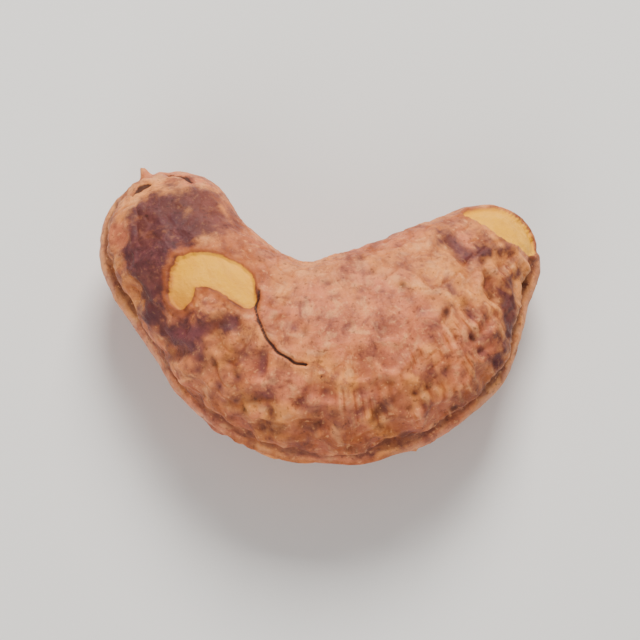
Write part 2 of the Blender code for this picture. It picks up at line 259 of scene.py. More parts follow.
# The crack in the skin, seen from above as x, y, and its faint second stretch
CRACK = ((-3.5, 0.2), (-3.8, -0.9), (-3.5, -1.9), (-3.0, -2.9), (-2.4, -3.6), (-1.6, -4.1), (-0.8, -4.3))
CRACK_END = ((0.0, -4.9), (0.3, -5.3), (0.1, -6.0))
CRACK_WIDTH = 0.095
CRACK_DEPTH = 0.2
CRACK_LIP = 0.05
CRACK_THINNER_END = 0.045  # how much narrower the second stretch is
CRACK_LIP_OUT = 2.2  # its lip's distance from its middle, in crack widths
CRACK_RAGGED = 0.1
CRACK_RAGGED_SIZE = 0.6
CRACK_TOP_ONLY = 7.0  # the crack is in the skin above this height
FAR_AWAY = 9.0  # the distance given to points that no crack reaches

# Two slits and an upstanding flake at the end of the blunt lobe
SLITS = (
    ((-11.0, 6.9, 6.8, 0.0), (-10.5, 7.3, 6.7, 0.19), (-9.9, 7.5, 7.0, 0.0)),
    ((-9.0, 8.3, 5.9, 0.0), (-8.3, 8.0, 6.5, 0.09), (-7.6, 7.4, 7.1, 0.0)),
)
SLIT_DEPTH = 0.22
SLIT_WIDTH = 0.14
SLIT_RAGGED = 0.12
SLIT_RAGGED_SIZE = 0.3
# The painted shade inside the slits reaches this far
SLIT_SHADE_OUT = 0.08  # how much further out than the crack a slit is dark
SLIT_SHADE_GAP = 0.02  # the distance from a crack's middle that a slit's inside counts as
FLAKE = ((-10.3, 8.2, 5.3, 0.0), (-10.2, 8.25, 5.3, 0.0))
FLAKE_HEIGHT = 0.7
FLAKE_WIDTH = 0.2

# Zones of the skin, as routes of x, y, z and half width: stained purple and orange zones, and pale zones
# of painted sheen
PURPLE_ZONES = (
    (
        (-6.4, 5.4, 8.3, 1.2),
        (-8.3, 5.4, 8.6, 1.9),
        (-9.5, 4.6, 8.6, 1.95),
        (-9.9, 2.6, 8.6, 1.6),
        (-10.0, 0.9, 8.2, 1.3),
        (-9.7, -0.7, 7.8, 0.8),
    ),
    ((-6.6, 4.4, 8.9, 0.6), (-8.0, 4.2, 9.0, 0.9), (-9.0, 3.0, 9.0, 0.8), (-9.1, 1.0, 8.7, 0.5)),
    ((-9.4, -1.5, 7.9, 0.5), (-8.5, -2.2, 8.2, 0.6), (-7.2, -2.0, 9.2, 0.45), (-5.2, -1.5, 10.1, 0.2)),
    ((7.5, 3.6, 8.3, 0.25), (8.6, 3.0, 8.2, 0.1), (9.9, 3.4, 7.6, 0.15), (10.7, 3.2, 7.2, 0.35)),
    ((11.0, 2.6, 6.9, 0.2), (11.1, 0.7, 7.0, 0.2), (10.8, -1.4, 7.2, 0.4), (10.4, -3.0, 6.9, 0.2)),
    ((-9.0, 6.0, 1.5, 1.0), (-7.5, 2.5, 0.9, 1.6), (-4.0, -1.5, 0.2, 0.9)),
    ((5.5, -3.5, 0.6, 0.8), (8.5, -1.0, 1.4, 1.4), (10.5, 2.5, 2.6, 0.8)),
)
# Pale bands of painted sheen round the blunt lobe's end, along the hollow's edge and round the narrow
# tip's end
PALE_SHEEN_ZONES = (
    (
        (-9.4, 8.0, 6.4, 0.4),
        (-11.2, 7.3, 6.1, 0.6),
        (-12.5, 6.0, 5.2, 0.7),
        (-12.8, 4.4, 5.2, 0.7),
        (-12.0, 2.0, 5.6, 0.5),
        (-10.9, -0.9, 5.6, 0.3),
    ),
    ((-2.9, 2.4, 8.5, 0.1), (-0.6, 1.7, 9.1, 0.3), (2.0, 1.2, 9.6, 0.2), (4.4, 1.5, 9.4, 0.0)),
    ((13.0, 3.6, 5.0, 0.4), (12.4, 1.0, 5.3, 0.6), (11.7, -2.0, 5.4, 0.5), (10.3, -4.6, 5.4, 0.3)),
)
ORANGE_ZONES = (
    (
        (-5.3, 5.9, 6.8, 0.5),
        (-4.7, 4.6, 7.8, 0.7),
        (-4.6, 3.4, 8.9, 0.7),
        (-3.6, 1.8, 9.6, 0.5),
        (-3.0, 0.6, 10.1, 0.2),
    ),
    ((-7.6, 3.1, 9.2, 0.35), (-6.4, 3.3, 9.2, 0.45), (-5.2, 3.0, 9.2, 0.4)),
    # These two routes along the hollow's edge darken it: partly the skin's orange-brown, partly painted
    # shade
    ((-3.4, 3.4, 8.1, 0.1), (-1.9, 2.6, 8.1, 0.1), (-0.5, 1.9, 8.8, -0.1), (1.0, 2.0, 8.9, -0.1)),
    ((1.0, 2.0, 8.9, -0.1), (2.4, 2.6, 8.7, 0.0), (3.8, 4.0, 6.8, 0.1), (5.2, 4.2, 7.6, 0.0)),
    ((6.2, 4.6, 6.6, 0.5), (7.6, 4.9, 6.4, 0.7), (8.8, 4.9, 6.6, 0.4)),
    ((-6.8, -5.6, 7.0, 0.5), (-4.6, -7.2, 7.0, 0.8), (0.0, -8.3, 7.0, 0.8), (4.5, -7.8, 7.2, 0.9)),
    ((7.3, -6.3, 6.9, 0.5), (8.3, -5.6, 7.0, 0.7), (9.7, -4.6, 6.6, 0.5), (10.4, -3.2, 6.7, 0.4)),
)
# the pale zones' painted sheen fades over the same range
ZONE_EDGE = (-0.8, 1.0)  # over this range of distances from a zone's outline its stain fades
ZONE_NOISES = ((0.7, 1.8), (0.5, 0.8), (0.35, 0.37))  # height and size of what breaks its outline

# Where the other colours lie: over which heights, lengths, or distances they come in
# painted shade on the lower part: none above the first height, full below the second
LOW_SHADE_BELOW = (5.0, 1.0)
NARROW_TIP_FROM_X = (8.0, 10.0)
FLANK_FROM_X = (2.5, 7.5)
FLANK_RAGGED = 2.0
FLANK_RAGGED_SIZE = 2.2
# The torn edge's painted shadow is darkest below this y and left of this x
EDGE_SHADOW_BELOW_Y = (1.4, 0.4)
EDGE_SHADOW_LEFT_OF_X = (-7.9, -8.5)
LEG_MIDDLE = (-8.3, -0.6, 9.1)
LEG_REACH = 1.3
RIM_TINT_WIDTH = 0.5
# maroon along the hollow's seam: partly its own dark, partly painted shade
SEAM_TINT = 0.7
SEAM_TINT_WIDTH = 0.3


def smooth_step(low, high, value):
    """0 below low, 1 above high, and a smooth rise between."""
    share = np.clip((value - low) / (high - low), 0.0, 1.0)
    return share * share * (3.0 - 2.0 * share)


def bump(distance, width):
    """A rounded ridge of height 1, about twice the width across."""
    return np.exp(-((distance / width) ** 2))


def smooth_curve(control, steps):
    """Points on the even cubic curve that the control points draw, from the first to the last."""
    control = np.array(control, float)
    rows = np.vstack([2.0 * control[0] - control[1], control, 2.0 * control[-1] - control[-2]])
    places = np.linspace(0.0, len(control) - 1.0, (len(control) - 1) * steps + 1)
    span = np.minimum(places.astype(int), len(control) - 2)
    u = (places - span)[:, None]
    weights = (
        (1.0 - u) ** 3 / 6.0,
        (3.0 * u**3 - 6.0 * u**2 + 4.0) / 6.0,
        (-3.0 * u**3 + 3.0 * u**2 + 3.0 * u + 1.0) / 6.0,
        u**3 / 6.0,
    )
    return sum(weight * rows[span + k] for k, weight in enumerate(weights))


def noise_at(points, size, shift=0.0):
    """Smooth noise about 0 at each point, with features of the given size."""
    rows = (points / size + shift).tolist()
    return np.array([noise.noise(row) for row in rows])


def cells_at(points, size):
    """Distances, in cell sizes, from each point to the nearest and the next cell centre."""
    rows = (points / size).tolist()
    return np.array([noise.voronoi(row)[0][:2] for row in rows]).T


class Spine:
    """The bend's spine, read at any distances from the blunt tip."""

    def __init__(self):
        self.rows = smooth_curve(SPINE, SPAN_STEPS)
        steps = np.linalg.norm(np.diff(self.rows[:, :2], axis=0), axis=1)
        self.travelled = np.concatenate([[0.0], np.cumsum(steps)])
        self.length = self.travelled[-1]
        self.thickest = self.rows[:, 3].max()

    def at(self, distance):
        return [np.interp(distance, self.travelled, column) for column in self.rows.T]

    def outward(self, distance):
        before = self.at(np.maximum(distance - EVENING, 0.0))
        after = self.at(np.minimum(distance + EVENING, self.length))
        across = np.stack([after[1] - before[1], before[0] - after[0]], axis=1)
        return across / np.linalg.norm(across, axis=1, keepdims=True)


def place(spine, polar, azimuth):
    """Points of the plain nut, and what its relief is worked out from."""
    blunt_arc = 0.5 * math.pi * BLUNT_CAP
    narrow_arc = 0.5 * math.pi * NARROW_CAP
    straight = spine.length - BLUNT_CAP - NARROW_CAP
    whole = blunt_arc + straight + narrow_arc
    walked = polar / math.pi * whole
    left = np.clip(whole - walked, 0.0, narrow_arc) / NARROW_CAP
    in_blunt = walked < blunt_arc
    in_narrow = walked > blunt_arc + straight
    blunt_turn = np.minimum(walked, blunt_arc) / BLUNT_CAP
    closing = np.where(in_blunt, np.sin(blunt_turn), np.where(in_narrow, np.sin(left), 1.0))
    distance = np.where(
        in_blunt,
        BLUNT_CAP * (1.0 - np.cos(blunt_turn)),
        np.where(
            in_narrow,
            spine.length - NARROW_CAP * (1.0 - np.cos(left)),
            BLUNT_CAP + walked - blunt_arc,
        ),
    )
    x, y, depth, thickness = spine.at(distance)
    outward = spine.outward(distance)
    turn = azimuth - CROWDING * np.sin(azimuth)
    power = 2.0 + (SQUARENESS - 2.0) * closing
    size = (np.abs(np.cos(turn)) ** power + np.abs(np.sin(turn)) ** power) ** (-1.0 / power)
    across = closing * depth * size * np.cos(turn)
    up = closing * thickness * size * np.sin(turn) * (1.0 - INNER_FULLNESS * np.cos(turn))
    middle = spine.thickest - LOBE_DROP * (spine.thickest - thickness)
    points = np.stack([x + outward[:, 0] * across, y + outward[:, 1] * across, middle + up], axis=1)
    facts = {
        "distance": distance,
        "up": up,
        "closing": closing,
        "backness": closing * np.cos(turn) + TIP_BACKNESS * (1.0 - closing),
        "grain": np.stack([distance, across, up], axis=1),
    }
    return points, facts


def gap_to_route(points, control, steps=5):
    """Distance from each point to a smooth route, less the route's own half width there."""
    rows = smooth_curve(control, steps) if len(control) > 2 else np.array(control)
    middle, half = rows[:, :-1], rows[:, -1]
    nearest = np.full(len(points), np.inf)
    for k in range(len(rows) - 1):
        along = middle[k + 1] - middle[k]
        share = np.clip(((points - middle[k]) @ along) / (along @ along), 0.0, 1.0)
        away = points - (middle[k] + share[:, None] * along)
        gap = np.sqrt((away * away).sum(axis=1)) - (half[k] + share * (half[k + 1] - half[k]))
        nearest = np.minimum(nearest, gap)
    return nearest


def edge_of_bare(points):
    """Distance from the edge of the nearest bare place, below 0 inside it."""
    edge = np.min([gap_to_route(points, place) for place in BARE_PLACES], axis=0)
    edge += BARE_RAGGED * noise_at(points, BARE_RAGGED_SIZE)
    for height, size, name in TEAR_NOISES:
        edge += height * noise_at(points, size, SHIFTS[name])
    return edge


def edge_of_crack(points):
    """Distance from the crack's middle, far away on the lower side."""
    ragged = [noise_at(points, CRACK_RAGGED_SIZE, SHIFTS[name]) for name in ("crack x", "crack y")]
    flat = points[:, :2] + CRACK_RAGGED * np.stack(ragged, axis=1)
    main = gap_to_route(flat, [(x, y, 0.0) for x, y in CRACK])
    end = gap_to_route(flat, [(x, y, -CRACK_THINNER_END) for x, y in CRACK_END])
    return np.where(points[:, 2] > CRACK_TOP_ONLY, np.minimum(main, end), FAR_AWAY)


def stain(points, zones, name):
    """How far each point lies in the zones, 0 to 1, with broken edges."""
    gap = np.min([gap_to_route(points, zone) for zone in zones], axis=0)
    for k, (height, size) in enumerate(ZONE_NOISES):
        gap += height * noise_at(points, size, SHIFTS[name] + k)
    return 1.0 - smooth_step(*ZONE_EDGE, gap)


def pits(points):
    """Small pits, one in each of some cells: 1 in the middle of a pit, 0 outside."""
    rows = (points / PIT_SIZE + SHIFTS["pit"]).tolist()
    found = [noise.voronoi(row) for row in rows]
    near = np.array([distances[0] for distances, _ in found])
    chance = np.array([noise.cell(centres[0] * CELL_SPREAD) for _, centres in found])
    width = PIT_WIDTH * (PIT_LEAST + PIT_MORE * chance)
    return bump(near * PIT_SIZE, width) * (chance > 1.0 - PIT_SHARE)


def centre_on_surface(points):
    """The points moved over the origin, with the lowest one FLAT_DEPTH under height 0."""
    low, high = points.min(axis=0), points.max(axis=0)
    middle = 0.5 * (low + high)
    return points - np.array([middle[0], middle[1], low[2] + FLAT_DEPTH])


def normals_of(mesh, points):
    mesh.vertices.foreach_set("co", points.ravel())
    mesh.update()
    normals = np.empty(len(points) * 3, np.float32)
    mesh.vertex_normals.foreach_get("vector", normals)
    return normals.reshape(-1, 3).astype(float)


def rim_and_seam(points, facts, side):
    """The rim round the back, the seam in the hollow, and the fields for their colours."""
    off = np.abs(side)
    back = facts["backness"]
    uneven = 1.0 + RIM_UNEVEN * noise_at(points, RIM_PATCHINESS)
    round_back = smooth_step(*BACK_FROM, back) * smooth_step(*RIM_ENDS, facts["closing"])
    on_back = round_back * uneven
    in_hollow = smooth_step(*HOLLOW_FROM, -back) * uneven
    groove_depth = np.where(side > 0.0, RIM_GROOVE, RIM_LOWER_GROOVE)
    groove = groove_depth * bump(off - RIM_GROOVE_OUT, RIM_GROOVE_WIDTH)
    rim = (RIM_HEIGHT * bump(off, RIM_WIDTH) - groove) * on_back
    seam = -SEAM_DEPTH * bump(off, SEAM_WIDTH) * in_hollow
    seam_tint = SEAM_TINT * bump(off, SEAM_TINT_WIDTH) * in_hollow
    flank_x = np.abs(points[:, 0]) + FLANK_RAGGED * noise_at(points, FLANK_RAGGED_SIZE, SHIFTS["flank"])
    fields = {
        "rim": bump(off, RIM_TINT_WIDTH) * round_back,
        "groove": groove / RIM_GROOVE * on_back + seam_tint,
        "inner": -back,
        "flank": smooth_step(*FLANK_FROM_X, flank_x),
    }
    return rim + seam, fields


def net_and_ribs(points, facts, side):
    """The raised net, the cross ribs of the shoulder, and the fields for their colours."""
    off = np.abs(side)
    back = facts["backness"]
    near, next_near = cells_at(points, NET_SIZE)
    cell = smooth_step(0.0, NET_RIDGE, next_near - near)
    flank = smooth_step(*BACK_FROM, back)
    amount = smooth_step(*NET_FROM, off) * (NET_CHEEK_SHARE + (1.0 - NET_CHEEK_SHARE) * flank)
    net = NET_HEIGHT * (NET_LEVEL - cell) * amount
    wander = RIB_WANDER * noise_at(points, SWELL_SIZE, RIB_SHIFT)
    rib = RIB_HEIGHT * np.sin(2.0 * math.pi * facts["distance"] / RIB_PITCH + wander)
    shoulder = smooth_step(*SHOULDER_BACK, back) * smooth_step(*SHOULDER_OFF, off)
    return net + rib * shoulder, {"net": cell * amount, "shoulder": shoulder}


def dents(points):
    """The dimples and folds as a depth, and as a field for their colour."""
    dimple = np.zeros(len(points))
    for *middle, radius in DIMPLES:
        dimple = np.maximum(dimple, bump(np.linalg.norm(points - np.array(middle), axis=1), radius))
    fold = np.zeros(len(points))
    for route in FOLDS:
        fold = np.maximum(fold, bump(np.maximum(gap_to_route(points, route), 0.0), FOLD_EDGE))
    depth = np.maximum(DIMPLE_DEPTH * dimple, FOLD_DEPTH * fold)
    return depth, {"dent": np.maximum(dimple, fold)}


def fine_relief(points, warp, warped, facts, shoulder):
    """Wrinkles, stripes, creases, pebbling and pits, and the fields for their colours."""
    wrinkle = noise_at(warped, WRINKLE_SIZES)
    wrinkle += 0.5 * noise_at(warped, 0.5 * WRINKLE_SIZES, SHIFTS["wrinkle"])
    wander = STRIPE_WANDER * noise_at(points, STRIPE_WANDER_SIZE, SHIFTS["stripe"])
    stripe = np.sin(2.0 * math.pi * facts["distance"] / STRIPE_PITCH + wander)
    stripe_patch = noise_at(points, STRIPE_PATCH_SIZE, SHIFTS["stripe patch"])
    stripe *= smooth_step(*STRIPE_PATCHES, stripe_patch)
    stripe *= shoulder * smooth_step(*STRIPE_FROM_X, points[:, 0])
    crease = np.abs(noise_at(points + 0.5 * warp, CREASE_SIZE, SHIFTS["crease"]))
    crease_patch = noise_at(points, CREASE_PATCH_SIZE, SHIFTS["crease patch"])
    crease = bump(crease, CREASE_WIDTH) * smooth_step(*CREASE_PATCHES, crease_patch)
    pebble = noise_at(points, PEBBLE_SIZE, SHIFTS["pebble"])
    pebble += 0.5 * noise_at(points, 0.5 * PEBBLE_SIZE, SHIFTS["fine pebble"])
    pit_patch = noise_at(points, PIT_PATCH_SIZE, SHIFTS["pit patch"]) + PIT_MORE_ON_SHOULDER * shoulder
    pit = pits(points) * smooth_step(*PIT_PATCHES, pit_patch)

    height = WRINKLE_HEIGHT * wrinkle * (WRINKLE_EVERYWHERE + WRINKLE_MORE_ON_SHOULDER * shoulder)
    height += PEBBLE_HEIGHT * pebble + STRIPE_HEIGHT * stripe
    height -= CREASE_DEPTH * crease + PIT_DEPTH * pit
    return height, {"wrinkle": wrinkle, "stripe": stripe, "crease": crease, "pit": pit}


def breaks(points, edge):
    """The torn skin's lip, the crack, the slits and the flake, and the field for the painted shade
    inside the crack and slits.
    """
    lip = LIP_HEIGHT * bump(edge - LIP_WIDTH, LIP_WIDTH)
    lip *= LIP_EVENNESS + noise_at(points, LIP_UNEVEN_SIZE, SHIFTS["lip"])
    crack_gap = edge_of_crack(points)
    crack = CRACK_LIP * bump(crack_gap - CRACK_LIP_OUT * CRACK_WIDTH, CRACK_WIDTH)
    crack -= CRACK_DEPTH * bump(crack_gap, CRACK_WIDTH)
    slit_gap = np.min([gap_to_route(points, slit) for slit in SLITS], axis=0)
    slit_gap += SLIT_RAGGED * noise_at(points, SLIT_RAGGED_SIZE, SHIFTS["slit"])
    slit = -SLIT_DEPTH * bump(np.maximum(slit_gap, 0.0), SLIT_WIDTH)
    flake = FLAKE_HEIGHT * bump(np.maximum(gap_to_route(points, FLAKE), 0.0), FLAKE_WIDTH)
    slit_shade = np.maximum(slit_gap - SLIT_SHADE_OUT, 0.0) + SLIT_SHADE_GAP
    dark = np.minimum(crack_gap, slit_shade)
    return lip + crack + slit + flake, {"crack_gap": dark}


def places(points):
    """The fields that only say where on the nut a point lies."""
    shadow_below = smooth_step(*EDGE_SHADOW_BELOW_Y, points[:, 1])
    shadow_left = smooth_step(*EDGE_SHADOW_LEFT_OF_X, points[:, 0])
    return {
        # where painted shade darkens the lower part
        "low": smooth_step(*LOW_SHADE_BELOW, points[:, 2]),
        "narrow_tip": smooth_step(*NARROW_TIP_FROM_X, points[:, 0]),
        "leg": bump(np.linalg.norm(points - np.array(LEG_MIDDLE), axis=1), LEG_REACH),
        # where the torn edge's painted shadow is darkest
        "shadowed_edge": np.maximum(shadow_below, shadow_left),
        "purple": stain(points, PURPLE_ZONES, "purple"),
        "pale": stain(points, PALE_SHEEN_ZONES, "pale"),
        "orange": stain(points, ORANGE_ZONES, "orange"),
    }


def carve(points, facts):
    """The relief's height at each point, and the fields that the colours are mixed by."""
    level = RIM_LEVEL + RIM_DRIFT * noise_at(points, SWELL_SIZE, RIM_SHIFT)
    side = facts["up"] - level
    warp = np.stack([noise_at(points, WARP_SIZE, shift) for shift in SHIFTS["warp"]], axis=1)
    warped = facts["grain"] + WARP * warp
    edge = edge_of_bare(points)
    bare = 1.0 - smooth_step(-SKIN_EDGE, 0.0, edge)

    rim, rim_fields = rim_and_seam(points, facts, side)
    net, net_fields = net_and_ribs(points, facts, side)
    dent, dent_fields = dents(points)
    fine, fine_fields = fine_relief(points, warp, warped, facts, net_fields["shoulder"])
    broken, broken_fields = breaks(points, edge)
    skin = SWELL_HEIGHT * noise_at(points, SWELL_SIZE) + rim + net - dent

    kernel = KERNEL_WAVE * noise_at(points, KERNEL_WAVE_SIZE, SHIFTS["kernel wave"])
    kernel += KERNEL_GRAIN * noise_at(warped, KERNEL_GRAIN_SIZES, SHIFTS["kernel grain"])
    height = skin * (1.0 - BARE_CALM * bare) + (fine + broken) * (1.0 - bare)
    height += (kernel - SKIN_STEP) * bare
    fields = {"bare_edge": edge, **rim_fields, **net_fields, **dent_fields}
    return height, {**fields, **fine_fields, **broken_fields, **places(points)}


def make_nut():
    """The fine nut as one closed mesh in metres, with its fields as attributes."""
    spine = Spine()
    shape = bmesh.new()
    bmesh.ops.create_uvsphere(shape, u_segments=AROUND, v_segments=ALONG, radius=1.0)
    mesh = bpy.data.meshes.new("nut_surface")
    shape.to_mesh(mesh)
    shape.free()
    ball = np.empty(len(mesh.vertices) * 3, np.float32)
    mesh.vertices.foreach_get("co", ball)
    ball = ball.reshape(-1, 3).astype(float)
    polar = np.arccos(np.clip(ball[:, 2], -1.0, 1.0))
    points, facts = place(spine, polar, np.arctan2(ball[:, 1], ball[:, 0]))
    points = centre_on_surface(points)
    normals = normals_of(mesh, points)
    if (normals * (points - points.mean(axis=0))).sum() < 0.0:
        mesh.flip_normals()
        normals = -normals
    height, fields = carve(points, facts)
    points = centre_on_surface(points + normals * height[:, None])
    points[:, 2] = np.maximum(points[:, 2], 0.0)
    mesh.vertices.foreach_set("co", (points * MM).ravel())
    mesh.update()
    mesh.shade_smooth()
    for name, values in fields.items():
        field = mesh.attributes.new(name, "FLOAT", "POINT")
        field.data.foreach_set("value", values.astype(np.float32))
    grain = mesh.attributes.new("grain", "FLOAT_VECTOR", "POINT")
    grain.data.foreach_set("vector", facts["grain"].ravel())
    nut = bpy.data.objects.new("nut_surface", mesh)
    bpy.context.scene.collection.objects.link(nut)
    return nut


class Graph:
    """Short calls for the nodes of one material."""

    def __init__(self, name):
        self.material = bpy.data.materials.new(name)
        self.material.use_nodes = True
        self.tree = self.material.node_tree
        self.shader = self.tree.nodes["Principled BSDF"]

    def put(self, socket, value):
        if isinstance(value, bpy.types.NodeSocket):
            self.tree.links.new(value, socket)
        else:
            socket.default_value = value

    def node(self, kind, **settings):
        made = self.tree.nodes.new(kind)
        for name, value in settings.items():
            setattr(made, name, value)
        return made

    def field(self, name):
        return self.node("ShaderNodeAttribute", attribute_name=name).outputs["Fac"]

    def vector(self, name):
        return self.node("ShaderNodeAttribute", attribute_name=name).outputs["Vector"]

    def in_mm(self):
        """The surface's own coordinates, in millimetres."""
        scale = self.node("ShaderNodeVectorMath", operation="SCALE")
        self.put(scale.inputs[0], self.node("ShaderNodeTexCoord").outputs["Object"])
        self.put(scale.inputs["Scale"], 1.0 / MM)
        return scale.outputs[0]

    def math(self, operation, a, b=0.0, c=0.0):
        made = self.node("ShaderNodeMath", operation=operation)
        for socket, value in zip(made.inputs, (a, b, c)):
            self.put(socket, value)
        return made.outputs[0]

    def times(self, a, b):
        return self.math("MULTIPLY", a, b)

    def ramp(self, value, low, high, start=0.0, end=1.0):
        """A smooth rise from start at low to end at high."""
        made = self.node("ShaderNodeMapRange", interpolation_type="SMOOTHSTEP")
        for name, number in zip(("From Min", "From Max", "To Min", "To Max"), (low, high, start, end)):
            made.inputs[name].default_value = number
        self.put(made.inputs["Value"], value)
        return made.outputs["Result"]

    def noise(self, vector, size, detail=3.0, roughness=0.55, distortion=0.0):
        made = self.node("ShaderNodeTexNoise")
        self.put(made.inputs["Vector"], vector)
        self.put(made.inputs["Scale"], 1.0 / size)
        self.put(made.inputs["Detail"], detail)
        self.put(made.inputs["Roughness"], roughness)
        self.put(made.inputs["Distortion"], distortion)
        return made.outputs["Fac"]

    def stretched(self, vector, sizes, shift=(0.0, 0.0, 0.0)):
        made = self.node("ShaderNodeMapping")
        self.put(made.inputs["Vector"], vector)
        made.inputs["Scale"].default_value = [1.0 / size for size in sizes]
        made.inputs["Location"].default_value = shift
        return made.outputs["Vector"]

    def mix(self, share, below, above, blend="MIX"):
        made = self.node("ShaderNodeMix", data_type="RGBA", blend_type=blend)
        self.put(made.inputs["Factor"], share)
        for name, colour in (("A", below), ("B", above)):
            socket = next(s for s in made.inputs if s.name == name and s.type == "RGBA")
            self.put(socket, colour)
        return next(s for s in made.outputs if s.type == "RGBA")


TAN = (0.85, 0.295, 0.068, 1.0)
PINK = (0.73, 0.207, 0.084, 1.0)
ROSE = (0.42, 0.105, 0.05, 1.0)
PALE = (0.93, 0.41, 0.155, 1.0)
ORANGE = (0.385, 0.088, 0.018, 1.0)
PURPLE = (0.082, 0.020, 0.025, 1.0)
MAUVE = (0.160, 0.043, 0.046, 1.0)
RIM_PINK = (0.70, 0.31, 0.19, 1.0)
MAROON = (0.13, 0.03, 0.015, 1.0)
UMBER = (0.042, 0.0125, 0.010, 1.0)
KERNEL = (0.93, 0.42, 0.005, 1.0)
KERNEL_CREAM = (0.97, 0.45, 0.02, 1.0)
KERNEL_DEEP = (0.66, 0.25, 0.012, 1.0)
# the tan of the kernel's left leg, and the colour of the painted shadow along the skin's edge
KERNEL_TAN_AND_SHADOW = (0.48, 0.145, 0.026, 1.0)

# How each colour comes in over the ones before it: between which two values of its noise or
# field, and its share at each of the two
PINK_IN_CLOUDS = (0.40, 0.60, 0.0, 1.0)
ROSE_IN_MOTTLE = (0.48, 0.66, 0.0, 0.7)
PALE_IN_BLOTCH = (0.50, 0.68, 0.0, 0.6)
ROSE_IN_WRINKLE = (0.1, -0.5, 0.0, 1.0)
WRINKLE_BY_SHOULDER = (0.0, 1.0, 0.2, 0.6)
PALE_SHEEN_BY_MOTTLE = (0.62, 0.42, 0.1, 0.6)
ORANGE_ZONE_BY_MOTTLE = (0.36, 0.60, 0.5, 0.95)
ORANGE_IN_STRIPE = (-0.05, -0.8, 0.0, 0.75)
PALE_IN_STRIPE = (0.1, 0.9, 0.0, 0.4)
STAIN_BROKEN = 1.6
STAIN_IN = (-0.4, 0.95, 0.0, 0.98)
MAUVE_IN_BLOTCH = (0.46, 0.66, 0.0, 0.7)
MAROON_IN_CLOUDS = (0.5, 0.35, 0.0, 0.3)
# painted shade on the lower part
LOW_SHADE_BY_CLOUDS = (0.35, 0.6, 0.25, 0.5)
# rose in the net's hollows: partly the skin's own pattern, partly painted shade
NET_HOLLOW_TONE_AND_SHADE = (0.4, 1.0)
NET_BY_CLOUDS = (0.36, 0.58, 0.2, 0.65)
UNSTAINED = (0.1, 0.8, 1.0, 0.15)
DENT_BY_CLOUDS = (0.42, 0.58)
DENT_IN = (0.1, 1.1)
DENT_BY_MOTTLE = (0.3, 0.6, 0.5, 0.85)
# painted shade on the hollow side of the bend
HOLLOW_SIDE_SHADE = (0.2, 0.8, 0.0, 0.28)
RIM_IN = (0.35, 0.95)
RIM_BY_BLOTCH = (0.36, 0.62, 0.2, 0.7)
RIM_BY_FLANK = (0.0, 1.0, 0.15, 1.0)
RUST_BY_MOTTLE = (0.36, 0.56, 0.35, 0.8)
RUST_BY_FLANK = (1.0, 0.0)
# maroon in the grooves: partly the skin's own dark, partly painted shade
GROOVE_IN = (0.08, 0.6)
GROOVE_BY_BLOTCH = (0.3, 0.6, 0.95, 0.65)
PIT_DARKNESS = 0.85
CREASE_TINT = 0.5
DARK_GRIT = (0.56, 0.72, 0.0, 0.5)
PALE_GRIT = (0.42, 0.30)
PALE_GRIT_BY_STAIN = (0.0, 0.8, 0.4, 0.1)
CREAM_IN_CLOUDS = (0.40, 0.60)
DEEP_IN_STREAKS = (0.44, 0.66, 0.0, 0.3)
LEG_TINT = 0.6
# painted shadow along the torn skin's edge: on the kernel, by noise and by place
KERNEL_SHADOW_TO = (-0.32, -0.05)
EDGE_SHADOW_BY_NOISE = (0.42, 0.66, 0.3, 0.9)
EDGE_SHADOW_BY_PLACE = (0.0, 1.0, 0.15, 1.0)
BORDER_TO = (0.5, 0.1)
BORDER_BY_TIP = (0.0, 1.0, 0.7, 0.15)
# painted shadow on the skin along the torn edge
TORN_EDGE_SHADOW_TO = (0.22, 0.0)
KERNEL_FROM = (-0.02, -0.09)
# painted shade inside the crack and the slits
CRACK_SHADE_TO = (0.13, 0.05, 0.0, 0.92)
ROUGHNESS_IN_GRIT = (0.3, 0.7, 0.46, 0.64)
SPECULAR = 0.24
GRIT_BUMP = 0.12
GRIT_BUMP_STRENGTH = 0.6


def skin_noises(g, mm):
    """The noises that break up the skin's colours, from the widest to the finest."""
    blotch_place = g.stretched(mm, (1.0, 1.0, 1.0), (31.0, 7.0, 3.0))
    return {
        "clouds": g.noise(mm, 4.5, 2.0, 0.5, 0.6),
        "streaks": g.noise(g.stretched(g.vector("grain"), (0.8, 1.6, 1.6)), 1.0, 4.0, 0.6, 0.4),
        "mottle": g.noise(mm, 1.3, 4.0, 0.62, 0.5),
        "blotch": g.noise(blotch_place, 0.8, 3.0, 0.6, 0.4),
        "grit": g.noise(mm, 0.3, 3.0, 0.6),
    }


def mottled_skin(g, noises):
    """Tan skin with pink clouds, rose and pale mottling, the pale zones of painted sheen and the orange
    zones.
    """
    mottle = noises["mottle"]
    colour = g.mix(g.ramp(noises["clouds"], *PINK_IN_CLOUDS), TAN, PINK)
    colour = g.mix(g.ramp(mottle, *ROSE_IN_MOTTLE), colour, ROSE)
    colour = g.mix(g.ramp(noises["blotch"], *PALE_IN_BLOTCH), colour, PALE)
    by_shoulder = g.ramp(g.field("shoulder"), *WRINKLE_BY_SHOULDER)
    wrinkled = g.times(g.ramp(g.field("wrinkle"), *ROSE_IN_WRINKLE), by_shoulder)
    colour = g.mix(wrinkled, colour, ROSE)
    # painted sheen: pale bands round the lobe ends and along the hollow's edge
    pale_sheen = g.times(g.field("pale"), g.ramp(mottle, *PALE_SHEEN_BY_MOTTLE))
    colour = g.mix(pale_sheen, colour, PALE)
    orange_zone = g.times(g.field("orange"), g.ramp(mottle, *ORANGE_ZONE_BY_MOTTLE))
    colour = g.mix(orange_zone, colour, ORANGE)
    colour = g.mix(g.ramp(g.field("stripe"), *ORANGE_IN_STRIPE), colour, ORANGE)
    return g.mix(g.ramp(g.field("stripe"), *PALE_IN_STRIPE), colour, PALE)


